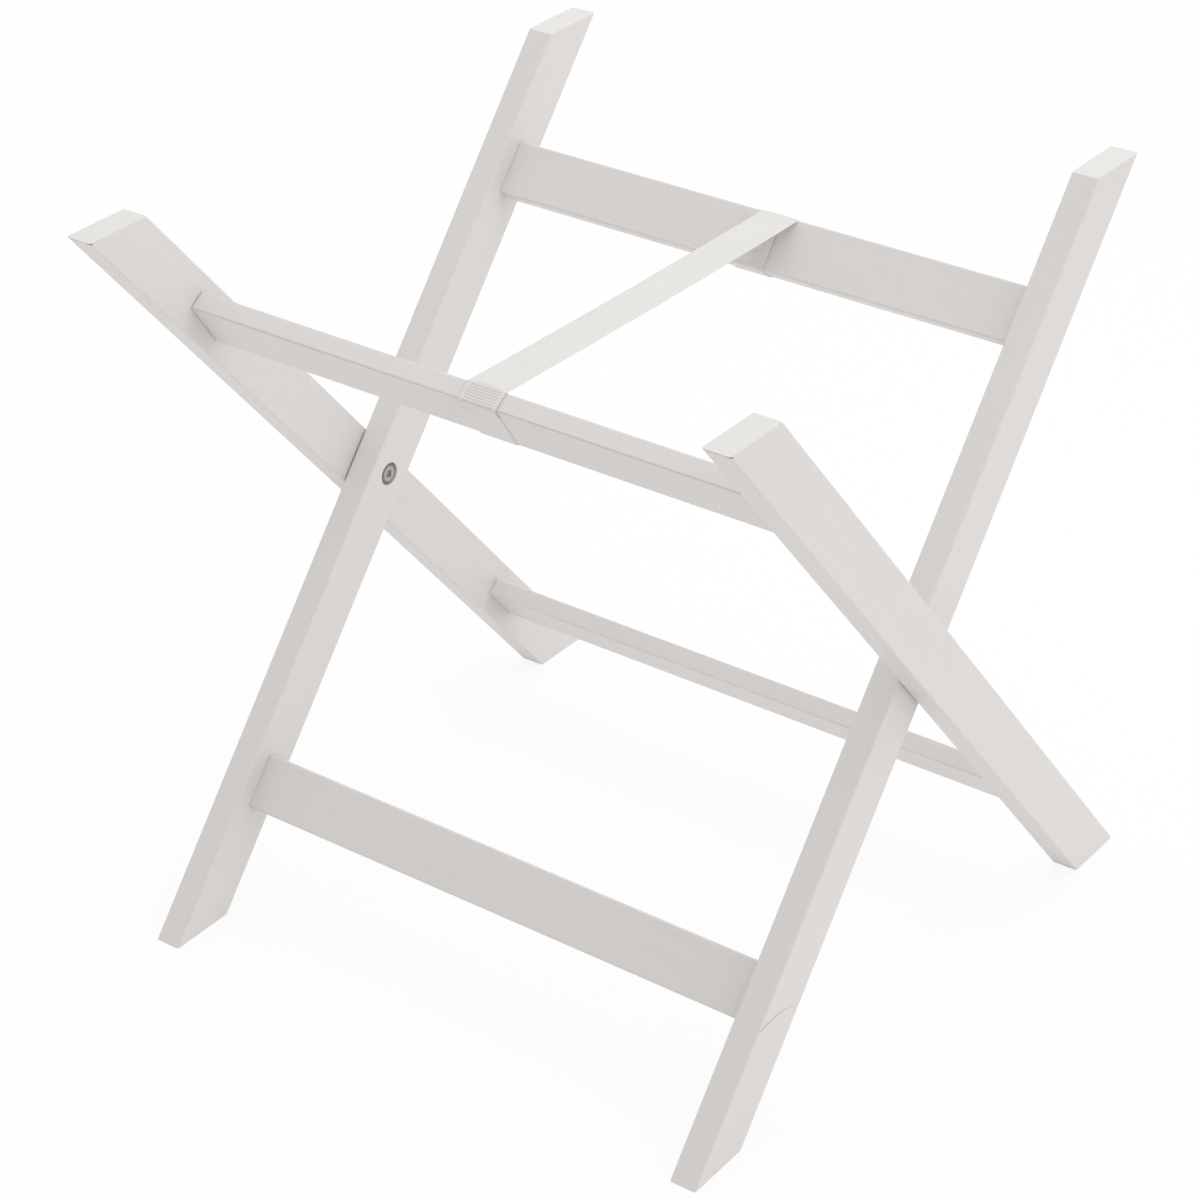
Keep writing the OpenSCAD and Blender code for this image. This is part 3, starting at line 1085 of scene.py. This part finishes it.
class Route:
    """Collects the middle line of one length of webbing."""

    def __init__(self) -> None:
        """Starts with nothing."""
        self.points: list[tuple[Vector, Vector, float]] = []

    def line(
        self, rail: RailSection, start: Pair, end: Pair, degrees: float, step: float, ribs: float = 0.0
    ) -> None:
        """Adds a straight stretch along a side of a rail.

        Args:
            rail: the rail's section.
            start: where it starts in the section.
            end: where it ends in the section.
            degrees: the direction that the side faces.
            step: the distance between its points.
            ribs: how deep its ribs are, from 0 to 1.
        """
        first, last, normal = rail.point(*start), rail.point(*end), rail.direction(degrees)
        count = max(1, round((last - first).length / step))
        for part in range(count + 1):
            self.points.append((first.lerp(last, part / count), normal, ribs))

    def bend(
        self,
        rail: RailSection,
        corner: tuple[int, int],
        out: float,
        turn: Pair,
        step: float,
        ribs: float = 0.0,
    ) -> None:
        """Adds a bend round an arris of a rail.

        Args:
            rail: the rail's section.
            corner: the signs of the arris.
            out: the middle line's distance from the wood.
            turn: the first and the last angle in degrees.
            step: the distance between its points.
            ribs: how deep its ribs are, from 0 to 1.
        """
        begin, end = turn
        centre, radius = rail.corner(*corner), rail.arris + out
        count = max(3, round(abs(math.radians(end - begin)) * radius / step))
        for part in range(count + 1):
            normal = rail.direction(begin + (end - begin) * part / count)
            self.points.append((centre + radius * normal, normal, ribs))

    def stations(self, tight: Callable[[float], float], shift: Callable[[float], float]) -> list[Station]:
        """The points without doubles, each with its distance along the webbing.

        Args:
            tight: how tight the webbing lies on the wood, from 0 to 1, by its distance along.
            shift: its sideways shift by its distance along.

        Returns:
            The stations.
        """
        made: list[Station] = []
        along = 0.0
        for at, out, ribs in self.points:
            if made:
                gap = (at - made[-1].at).length
                if gap < 0.01 * MM:
                    continue
                along += gap
            made.append(Station(at, out, along, ribs, tight(along), shift(along)))
        return made


def level(value: float) -> Callable[[float], float]:
    """The same value at every distance along."""
    return lambda along: value


@dataclass
class Strap:
    """The webbing strap between the upper rails: a ring at each, the run, its sewn ends and its stitches."""

    front: RailSection
    back: RailSection
    finish: Webbing
    thread: Thread
    front_x: float = 5.0 * MM
    back_x: float = 11.0 * MM
    width: float = 30 * MM
    thick: float = 0.7 * MM
    layer: float = 0.76 * MM
    clear: float = 0.03 * MM
    back_shift: float = -11.0 * MM
    left_margin: float = 3.6 * MM
    right_margin: float = 2.2 * MM
    lap_down: float = 8 * MM
    tail_length: float = 24 * MM
    rib_depth: float = 0.22 * MM
    front_pitch: float = 2.0 * MM
    back_pitch: float = 2.3 * MM
    sag: float = 1.2 * MM
    ripple: float = 0.05 * MM
    curl: float = 0.25 * MM
    end_lift: float = 1.2 * MM
    lift_reach: float = 4 * MM
    blend_inset: float = 25 * MM
    across_steps: int = 44
    fine: float = 0.25 * MM
    bend_step: float = 0.5 * MM
    coarse: float = 1.6 * MM

    def offset(self, layers: int) -> float:
        """The middle line's distance from the wood in the given layer, from 1."""
        return self.clear + self.layer * (layers - 0.5)

    def tangent(self) -> tuple[Vector, Vector, Vector]:
        """The taut run: its start, its end and its upper side."""
        first = self.front.corner(1, 1)
        last = self.back.corner(-1, 1)
        radius_first = self.front.arris + self.offset(2)
        radius_last = self.back.arris + self.offset(1)
        gap = last - first
        ahead = gap.normalized()
        up = Vector((0, -ahead.z, ahead.y))
        sine = (radius_first - radius_last) / gap.length
        normal = (up * math.sqrt(1 - sine * sine) + ahead * sine).normalized()
        return first + radius_first * normal, last + radius_last * normal, normal

    def main_route(self) -> list[Station]:
        """The lap over the outer upper rail, the run, and the ring round the inner upper rail."""
        front, back = self.front, self.back
        start, end, up = self.tangent()
        out = self.offset(2)
        face, edge = front.thick / 2, front.width / 2
        route = Route()
        lap = (-face - out, edge - self.lap_down), (-face - out, edge - front.arris)
        top = (-face + front.arris, edge + out), (face - front.arris, edge + out)
        route.line(front, *lap, 180, self.fine)
        route.bend(front, (-1, 1), out, (180, 150), self.fine)
        route.bend(front, (-1, 1), out, (150, 90), self.fine, ribs=1.0)
        route.line(front, *top, 90, self.fine, ribs=1.0)
        route.bend(front, (1, 1), out, (90, front.angle_of(up)), self.fine, ribs=1.0)
        count = round((end - start).length / self.coarse)
        for part in range(1, count):
            share = part / count
            drop = self.sag * 4 * share * (1 - share)
            route.points.append((start.lerp(end, share) - up * drop, up, 0.0))
        wrap = self.offset(1)
        route.bend(back, (-1, 1), wrap, (back.angle_of(up), 90), self.bend_step)
        self.ring_part(route, back, wrap, 1.0 * MM)
        bottom, top_end = -back.width / 2 + back.arris, back.width / 2 - 2.4 * MM
        route.line(back, (-back.thick / 2 - wrap, bottom), (-back.thick / 2 - wrap, top_end), 180, 0.8 * MM)
        off, on = self.length_to(route, start), self.length_to(route, end)
        over = self.length_to(route, back.point(face, edge))

        def shift(along: float) -> float:
            """The ring's skew: it comes round the rail further to the left."""
            share = min(1.0, max(0.0, (along - over) / (50 * MM)))
            return self.back_shift * share * share * (3 - 2 * share)

        def tight(along: float) -> float:
            """How tight the webbing lies: 1 on the rails, falling to 0 where the free run leaves them.

            Args:
                along: the distance along the webbing.

            Returns:
                The tightness.
            """
            front_share = (off + 0.6 * MM - along) / (1.6 * MM)
            back_share = (along - on - 4 * MM) / (14 * MM)
            return min(1.0, max(0.0, front_share, back_share))

        return route.stations(tight, shift)

    def length_to(self, route: Route, place: Vector) -> float:
        """The distance along a route to its point nearest a place.

        Args:
            route: the route.
            place: the place.

        Returns:
            The distance.
        """
        plain = route.stations(level(0.0), level(0.0))
        return min(plain, key=lambda station: (station.at - place).length).along

    def ring_part(self, route: Route, rail: RailSection, out: float, step: float) -> None:
        """Adds the way from a rail's top edge down its back and round its bottom edge to its front.

        Args:
            route: the route.
            rail: the rail.
            out: the middle line's distance from the wood.
            step: the distance between the points.
        """
        face, edge = rail.thick / 2, rail.width / 2
        flat_a, flat_b = face - rail.arris, edge - rail.arris
        sides = (
            ((-flat_a, edge + out), (flat_a, edge + out), (1, 1)),
            ((face + out, flat_b), (face + out, -flat_b), (1, -1)),
            ((flat_a, -edge - out), (-flat_a, -edge - out), (-1, -1)),
        )
        for quarter, (start, end, corner) in enumerate(sides):
            angle = 90 - 90 * quarter
            route.line(rail, start, end, angle, step)
            route.bend(rail, corner, out, (angle, angle - 90), self.bend_step)

    def front_ring(self) -> list[Station]:
        """The ring under the lap, all the way round the outer upper rail."""
        rail, out = self.front, self.offset(1)
        route = Route()
        self.ring_part(route, rail, out, 1.2 * MM)
        across, flat = -rail.thick / 2 - out, rail.width / 2 - rail.arris
        route.line(rail, (across, -flat), (across, flat), 180, 1.2 * MM)
        route.bend(rail, (-1, 1), out, (180, 90), self.bend_step)
        made = route.stations(level(1.0), level(0.0))
        return made[:-1] if (made[-1].at - made[0].at).length < 0.05 * MM else made

    def tail(self) -> list[Station]:
        """The turned tail on the front of the inner upper rail."""
        rail, out = self.back, self.offset(2)
        across, bottom = -rail.thick / 2 - out, -rail.width / 2 + rail.arris
        route = Route()
        route.line(rail, (across, bottom), (across, bottom + self.tail_length), 180, self.fine, ribs=0.4)
        return route.stations(level(1.0), level(self.back_shift))

    def middle_x(self, y: float) -> float:
        """The middle of the webbing's width at a distance back.

        Args:
            y: the distance back.

        Returns:
            Its place along the rails.
        """
        front_y = self.front.point(0, 0).y
        back_y = self.back.point(0, 0).y
        share = min(1.0, max(0.0, (y - front_y) / (back_y - front_y)))
        return self.front_x + (self.back_x - self.front_x) * share

    def section(self) -> list[Triple]:
        """The webbing's own section: across, a share of the half thickness, and 1 on the outer side."""
        half = self.width / 2
        round_at = self.thick / 2
        shoulder = 0.18 * round_at
        points: list[Triple] = []
        for part in range(self.across_steps + 1):
            across = (half - round_at) * (1 - 2 * part / self.across_steps)
            thinner = min(1.0, (half - abs(across)) / (1.3 * MM)) ** 0.5
            points.append((across, 1.3 * thinner - 0.4, 1.0))
        points += [(-half + shoulder, -0.2, 0.4), (-half, -0.5, 0.0), (-half + shoulder, -0.8, 0.0)]
        for part in range(self.across_steps + 1):
            across = -(half - round_at) * (1 - 2 * part / self.across_steps)
            points.append((across, -0.94, 0.0))
        points += [(half - shoulder, -0.8, 0.0), (half, -0.5, 0.0), (half - shoulder, -0.2, 0.4)]
        return points

    def band(self, name: str, stations: list[Station], pitch: float, closed: bool) -> bpy.types.Object:
        """Sweeps the webbing's section along its stations.

        Args:
            name: the piece's name.
            stations: where it goes.
            pitch: the distance between its rows of stitches.
            closed: True for a closed ring.

        Returns:
            The band, with its UV map in metres and the grooves between its rows of stitches marked for
            painted shade.
        """
        section = self.section()
        rings, flat, sewn, tight = [], [], [], []
        for station in stations:
            ring, marks = [], []
            phase = 0.5 - 0.5 * math.cos(math.tau * station.along / pitch)
            free = (1.0 - station.ribs) * (1.0 - station.tight)
            for across, share, outer in section:
                inside = self.sewn_width(across)
                dip = outer * station.ribs * inside * self.rib_depth * phase
                ripple = self.ripple * math.sin(station.along * 95 + across * 60) * free
                curl = self.curl * (abs(across) / (self.width / 2)) ** 3 * free
                lift = share * self.thick / 2 - dip + ripple - curl
                lift += self.lap_lift(name, station.along, across)
                at = station.at + station.out * lift
                middle = self.middle_x(station.at.y) + station.shift
                ring.append(Vector((middle + across, at.y, at.z)))
                # The depth in a groove between rows of stitches, which the material turns into painted shade.
                marks.append(station.ribs * outer * inside * phase)
            rings.append(ring)
            flat.append([(across, station.along) for across, _, _ in section])
            sewn.append(marks)
            tight.append([station.tight] * len(section))
        obj = new_object(name, ring_shell(name, rings, closed))
        mesh = obj.data
        uvs = [pair for row in flat for pair in row]
        for label, rows in (("sewn", sewn), ("tight", tight)):
            mark = mesh.attributes.new(label, "FLOAT", "POINT")
            mark.data.foreach_set("value", [value for row in rows for value in row])
        layer = mesh.uv_layers.new(name="webbing")
        total = stations[-1].along
        for polygon in mesh.polygons:
            alongs = [uvs[mesh.loops[loop].vertex_index][1] for loop in polygon.loop_indices]
            wraps = closed and max(alongs) - min(alongs) > total / 2
            for loop in polygon.loop_indices:
                u, v = uvs[mesh.loops[loop].vertex_index]
                layer.data[loop].uv = (u, v + (total if wraps and v < total / 2 else 0.0))
        for polygon in mesh.polygons:
            polygon.use_smooth = len(polygon.vertices) == 4
        return obj

    def sewn_width(self, across: float) -> float:
        """How much of the ribs' depth shows at a place across: 0 at the margins and 1 between them.

        Args:
            across: the place across the webbing.

        Returns:
            The share from 0 to 1.
        """
        left = (across + self.width / 2 - self.left_margin) / (0.8 * MM)
        right = (self.width / 2 - self.right_margin - across) / (0.8 * MM)
        return min(1.0, max(0.0, min(left, right)))

    def lap_lift(self, name: str, along: float, across: float) -> float:
        """How far the lap's cut end stands off the layer under it, most at its left.

        Args:
            name: the piece's name; only the strap's own end lifts.
            along: the distance from the cut end.
            across: the place across the webbing.

        Returns:
            The lift.
        """
        if name != "webbing_strap" or along > self.lift_reach:
            return 0.0
        side = 0.5 - across / self.width
        return self.end_lift * side * side * (1 - along / self.lift_reach) ** 2

    def rows(
        self,
        name: str,
        stations: list[Station],
        pitch: float,
        first: float,
        last: float,
        sunk: float,
    ) -> bpy.types.Object:
        """The line that the stitches follow, to and fro along the ribs.

        Args:
            name: the object's name.
            stations: the webbing's stations.
            pitch: the distance between rows.
            first: the first distance along the webbing.
            last: the last distance along it.
            sunk: how far the thread's middle lies under the webbing's face.

        Returns:
            A mesh of one line that turns at the end of each row.
        """
        points: list[Vector] = []
        left = self.left_margin + 0.3 * MM - self.width / 2
        right = self.width / 2 - self.right_margin - 0.3 * MM
        count = 0
        place = pitch
        while place <= last:
            if place >= first:
                near = min(stations, key=lambda station: abs(station.along - place))
                at = near.at + near.out * (self.thick * 0.45 - sunk)
                middle = self.middle_x(near.at.y) + near.shift
                for across in (left, right) if count % 2 == 0 else (right, left):
                    points.append(Vector((middle + across, at.y, at.z)))
                count += 1
            place += pitch
        edges = [(part, part + 1) for part in range(len(points) - 1)]
        mesh = bpy.data.meshes.new(name)
        mesh.from_pydata(points, edges, [])
        return new_object(name, mesh)

    def build(self) -> None:
        """Makes the webbing and its two patches of stitches."""
        material = self.finish.make()
        main, ring, tail = self.main_route(), self.front_ring(), self.tail()
        strap = self.band("webbing_strap", main, self.front_pitch, False)
        others = [
            self.band("front_ring", ring, self.front_pitch, True),
            self.band("turned_tail", tail, self.back_pitch, False),
        ]
        length = main[-1].along + ring[-1].along + tail[-1].along
        with bpy.context.temp_override(active_object=strap, selected_editable_objects=[strap, *others]):
            bpy.ops.object.join()
        dress(strap, material, None, Slot.WEBBING)
        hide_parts("strap")
        thread = self.thread.make()
        sewn = self.lap_down + self.front.thick + 2 * MM
        last = self.tail_length - 0.8 * MM
        first = self.lap_down + 0.4 * MM
        front_rows = self.rows("front_rows", main, self.front_pitch, first, sewn, 0.10 * MM)
        back_rows = self.rows("back_rows", tail, self.back_pitch, 1.0 * MM, last, 0.17 * MM)
        stitching = Stitching()
        for rows, name, body in (
            (front_rows, "front_stitches", Body.OUTER),
            (back_rows, "back_stitches", Body.INNER),
        ):
            piece = stitching.sew(rows, name, thread)
            dress(piece, thread, body, Slot.WEBBING)
        start, end, _ = self.tangent()
        inset = (end - start).normalized() * self.blend_inset
        tuple(start + inset)
        tuple(end - inset)
        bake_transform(strap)
        LOG.info("webbing_strap: cut %.0f by %.0f mm", self.width / MM, length / MM)


@dataclass
class Stitching:
    """Geometry Nodes that lay stitches along lines."""

    spacing: float = 2.05 * MM
    length: float = 2.2 * MM
    thread: float = 0.5 * MM
    shortest: float = 0.86
    longest: float = 1.08
    seed: int = 7

    def tree(self) -> bpy.types.NodeTree:
        """The node tree, with a named input for each size."""
        tree = bpy.data.node_groups.new("stitch_rows", "GeometryNodeTree")
        face = tree.interface
        face.new_socket("Geometry", in_out="INPUT", socket_type="NodeSocketGeometry")
        for name in ("Spacing", "Stitch length", "Thread width"):
            face.new_socket(name, in_out="INPUT", socket_type="NodeSocketFloat")
        face.new_socket("Seed", in_out="INPUT", socket_type="NodeSocketInt")
        face.new_socket("Thread", in_out="INPUT", socket_type="NodeSocketMaterial")
        face.new_socket("Geometry", in_out="OUTPUT", socket_type="NodeSocketGeometry")
        add, link = tree.nodes.new, tree.links.new
        given, made = add("NodeGroupInput"), add("NodeGroupOutput")
        curve, even = add("GeometryNodeMeshToCurve"), add("GeometryNodeResampleCurve")
        even.mode = "LENGTH"
        points = add("GeometryNodeCurveToPoints")
        points.mode = "EVALUATED"
        shape, size = add("GeometryNodeMeshUVSphere"), add("ShaderNodeCombineXYZ")
        shape.inputs["Segments"].default_value = 8
        shape.inputs["Rings"].default_value = 6
        shape.inputs["Radius"].default_value = 0.5
        stretch, smooth = add("GeometryNodeTransform"), add("GeometryNodeSetShadeSmooth")
        place, vary = add("GeometryNodeInstanceOnPoints"), add("FunctionNodeRandomValue")
        vary.data_type = "FLOAT"
        low, high = [socket for socket in vary.inputs if socket.type == "VALUE" and socket.enabled][:2]
        low.default_value, high.default_value = self.shortest, self.longest
        solid, dress_it = add("GeometryNodeRealizeInstances"), add("GeometryNodeSetMaterial")
        link(given.outputs["Geometry"], curve.inputs[0])
        link(curve.outputs[0], even.inputs["Curve"])
        link(given.outputs["Spacing"], even.inputs["Length"])
        link(even.outputs[0], points.inputs["Curve"])
        link(given.outputs["Thread width"], size.inputs[0])
        link(given.outputs["Thread width"], size.inputs[1])
        link(given.outputs["Stitch length"], size.inputs[2])
        link(shape.outputs["Mesh"], stretch.inputs["Geometry"])
        link(size.outputs[0], stretch.inputs["Scale"])
        link(stretch.outputs[0], smooth.inputs["Geometry"])
        link(points.outputs["Points"], place.inputs["Points"])
        link(points.outputs["Rotation"], place.inputs["Rotation"])
        link(smooth.outputs[0], place.inputs["Instance"])
        link(given.outputs["Seed"], vary.inputs["Seed"])
        link([out for out in vary.outputs if out.enabled][0], place.inputs["Scale"])
        link(place.outputs[0], solid.inputs[0])
        link(solid.outputs[0], dress_it.inputs["Geometry"])
        link(given.outputs["Thread"], dress_it.inputs["Material"])
        link(dress_it.outputs[0], made.inputs[0])
        return tree

    def sew(self, rows: bpy.types.Object, name: str, thread: bpy.types.Material) -> bpy.types.Object:
        """Lays stitches along rows, and removes the rows.

        Args:
            rows: a mesh of lines.
            name: the name of the stitches.
            thread: their material.

        Returns:
            The stitches as one plain mesh.
        """
        laid = rows.modifiers.new("stitches", "NODES")
        laid.node_group = self.tree()
        values = {
            "Spacing": self.spacing,
            "Stitch length": self.length,
            "Thread width": self.thread,
            "Seed": self.seed,
            "Thread": thread,
        }
        for item in laid.node_group.interface.items_tree:
            if item.in_out == "INPUT" and item.name in values:
                laid[item.identifier] = values[item.name]
        bpy.context.view_layer.update()
        graph = bpy.context.evaluated_depsgraph_get()
        mesh = bpy.data.meshes.new_from_object(rows.evaluated_get(graph))
        mesh.name = name
        bpy.data.objects.remove(rows)
        return new_object(name, mesh)


# ---------------------------------------------------------------- studio


@dataclass(frozen=True)
class SoftBox:
    """One large soft lamp."""

    name: str
    at: Triple
    size: float
    power: float
    tint: Triple = (1.0, 1.0, 1.0)

    def make(self, target: Vector) -> None:
        """Hangs the lamp, facing a point.

        Args:
            target: the point.
        """
        lamp = bpy.data.lights.new(self.name, "AREA")
        lamp.shape, lamp.size, lamp.energy, lamp.color = "SQUARE", self.size, self.power, self.tint
        obj = bpy.data.objects.new(self.name, lamp)
        bpy.context.scene.collection.objects.link(obj)
        obj.location = self.at
        obj.rotation_euler = (target - Vector(self.at)).to_track_quat("-Z", "Y").to_euler()


@dataclass
class Studio:
    """The camera, the lamps, the pale floor and the white surround."""

    azimuth: float = 36.77669
    elevation: float = 30.70874
    roll: float = -0.67487
    distance: float = 2.33435
    target: Triple = (-0.02570, 0.0, 0.22763)
    lens: float = 101.49
    surround: float = 0.88
    front_dim: float = 0.46
    right_lift: float = 0.27
    floor_tone: Colour = colour(249, 249, 249)
    floor_white: float = 0.86
    floor_size: float = 12.0
    floor_drop: float = 0.1 * MM
    lit_point: Triple = (0.0, 0.0, 0.25)
    lamps: tuple[SoftBox, ...] = (SoftBox("top_soft_box", (0.2, 0.7, 2.4), 2.0, 14.0),)

    def camera(self) -> None:
        """Places the camera."""
        az, el, roll = (math.radians(value) for value in (self.azimuth, self.elevation, self.roll))
        back = Vector((math.sin(az) * math.cos(el), -math.cos(az) * math.cos(el), math.sin(el)))
        right = Vector((math.cos(az), math.sin(az), 0.0))
        up = back.cross(right)
        side = right * math.cos(roll) + up * math.sin(roll)
        top = up * math.cos(roll) - right * math.sin(roll)
        data = bpy.data.cameras.new("camera")
        data.sensor_width, data.lens, data.clip_end = 36.0, self.lens, 50.0
        obj = bpy.data.objects.new("camera", data)
        bpy.context.scene.collection.objects.link(obj)
        turn = Matrix((side, top, back)).transposed().to_4x4()
        obj.matrix_world = Matrix.Translation(Vector(self.target) + back * self.distance) @ turn
        bpy.context.scene.camera = obj

    def seen(self, shader: Shader) -> Signal:
        """1 where the surface itself is seen, directly or by reflection, and 0 where it only lights others.

        Args:
            shader: the material's builder.

        Returns:
            The signal.
        """
        path = shader.node("ShaderNodeLightPath").socket.node
        names = ("Is Camera Ray", "Is Glossy Ray", "Is Transmission Ray")
        first, second, third = (Signal(shader, path.outputs[name]) for name in names)
        return first.larger(second).larger(third)

    def floor(self) -> None:
        """A plain pale floor that keeps the stand's shadow."""
        bm = bmesh.new()
        bmesh.ops.create_grid(bm, x_segments=8, y_segments=8, size=self.floor_size)
        mesh = bpy.data.meshes.new("floor")
        bm.to_mesh(mesh)
        bm.free()
        for vertex in mesh.vertices:
            vertex.co.z = -self.floor_drop
        obj = new_object("floor", mesh)
        shader = Shader("pale_floor")
        matt = shader.node("ShaderNodeBsdfDiffuse", {}, {"Color": self.floor_tone})
        white = shader.node("ShaderNodeEmission", {}, {"Color": (1, 1, 1, 1), "Strength": 1.0})
        share = self.seen(shader) * self.floor_white
        shader.node_output(shader.node("ShaderNodeMixShader", {}, {0: share, 1: matt, 2: white}))
        mesh.materials.append(shader.material)

    def world(self) -> None:
        """White where it is seen; elsewhere a light, dimmer from the front and fuller from the right."""
        shader = Shader("surround", world=True)
        bpy.context.scene.world = shader.material
        towards = shader.node("ShaderNodeTexCoord", output="Generated")
        right, back, _ = shader.split(towards)
        front_side = (0.0 - back).larger(0.0) ** 2.0
        right_side = right.larger(0.0) ** 2.0
        level = self.surround - front_side * self.front_dim + right_side * self.right_lift
        light = shader.node("ShaderNodeBackground", {}, {"Color": (1, 1, 1, 1), "Strength": level})
        white = shader.node("ShaderNodeBackground", {}, {"Color": (1, 1, 1, 1), "Strength": 1.0})
        shader.node_output(shader.node("ShaderNodeMixShader", {}, {0: self.seen(shader), 1: light, 2: white}))

    def build(self) -> None:
        """Makes the camera, the lamps, the floor and the world."""
        self.camera()
        self.floor()
        self.world()
        for lamp in self.lamps:
            lamp.make(Vector(self.lit_point))
        bpy.context.scene.view_settings.view_transform = "Standard"
        LOG.info("studio: %d lamps", len(self.lamps))


# ---------------------------------------------------------------- stand


@dataclass
class Stand:
    """The whole stand, sized from the CAD nodes' boxes."""

    lean: float = 40.0
    outer_upper_reach: float = 232 * MM
    outer_lower_reach: float = 237 * MM
    outer_upper_turn: float = -6.7
    inner_reach: float = 236 * MM
    inner_drop: float = 1.4 * MM
    checked_number: int = 5
    check_along: float = -240 * MM
    pinned_number: int = 2
    pin_along: float = -200 * MM

    def build(self) -> None:
        """Builds the frames, the pivots and the strap."""
        outer_low, outer_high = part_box("outer_right_leg")
        inner_low, inner_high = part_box("inner_right_leg")
        height = outer_high[2]
        thick = outer_high[0] - outer_low[0]
        leg = (thick, BoardFrame.leg_width, height)
        no_cut_end = height + 1.0
        rail = (BoardFrame.rail_thick, BoardFrame.rail_width, no_cut_end)
        check_at = own_length(self.checked_number, self.check_along)
        pin_at = own_length(self.pinned_number, self.pin_along)
        # The outer legs' paint carries painted shade under their top cuts' tips.
        outer_paint = PaintedWood("outer_leg_paint", *leg, tip_shade=1.0)
        inner_paint = PaintedWood("inner_leg_paint", *leg)
        checked = PaintedWood("checked_leg_paint", *leg, check_at=check_at)
        paint_rail = PaintedWood("rail_paint", *rail)
        # This rail's paint carries painted shade along its top arrises, as well as its pin hole.
        pinned = PaintedWood("pinned_rail_paint", *rail, pin_at=pin_at, arris_shade=0.2)
        outer = BoardFrame(
            kind="outer",
            body=Body.OUTER,
            lean=self.lean,
            outer_face=outer_high[0],
            inner_face=outer_low[0],
            height=height,
            paint_leg=outer_paint,
            paint_rail=paint_rail,
            marked={"outer_upper_rail_board": pinned},
            upper_reach=self.outer_upper_reach,
            lower_reach=self.outer_lower_reach,
            upper_turn=self.outer_upper_turn,
        )
        inner = BoardFrame(
            kind="inner",
            body=Body.INNER,
            lean=-self.lean,
            outer_face=inner_high[0],
            inner_face=inner_low[0],
            height=height,
            paint_leg=inner_paint,
            paint_rail=paint_rail,
            marked={"inner_right_leg_board": checked},
            upper_reach=self.inner_reach,
            lower_reach=self.inner_reach,
            drop=self.inner_drop,
            first_number=4,
        )
        for board_frame in (outer, inner):
            board_frame.build()
        PivotHardware(height=height, leg_face=inner_low[0]).build()
        sections = [
            RailSection(part.rail_axes(reach, turn), part.rail_thick, part.rail_width, Board.arris)
            for part, reach, turn in (
                (outer, self.outer_upper_reach, self.outer_upper_turn),
                (inner, self.inner_reach, 0.0),
            )
        ]
        Strap(*sections, Webbing("webbing", Strap.width), Thread("thread")).build()


def main() -> None:
    """Builds the studio and the stand."""
    logging.basicConfig(level=logging.INFO, format="%(name)s %(message)s")
    Studio().build()
    Stand().build()
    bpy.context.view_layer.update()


if __name__ == "__main__":
    main()
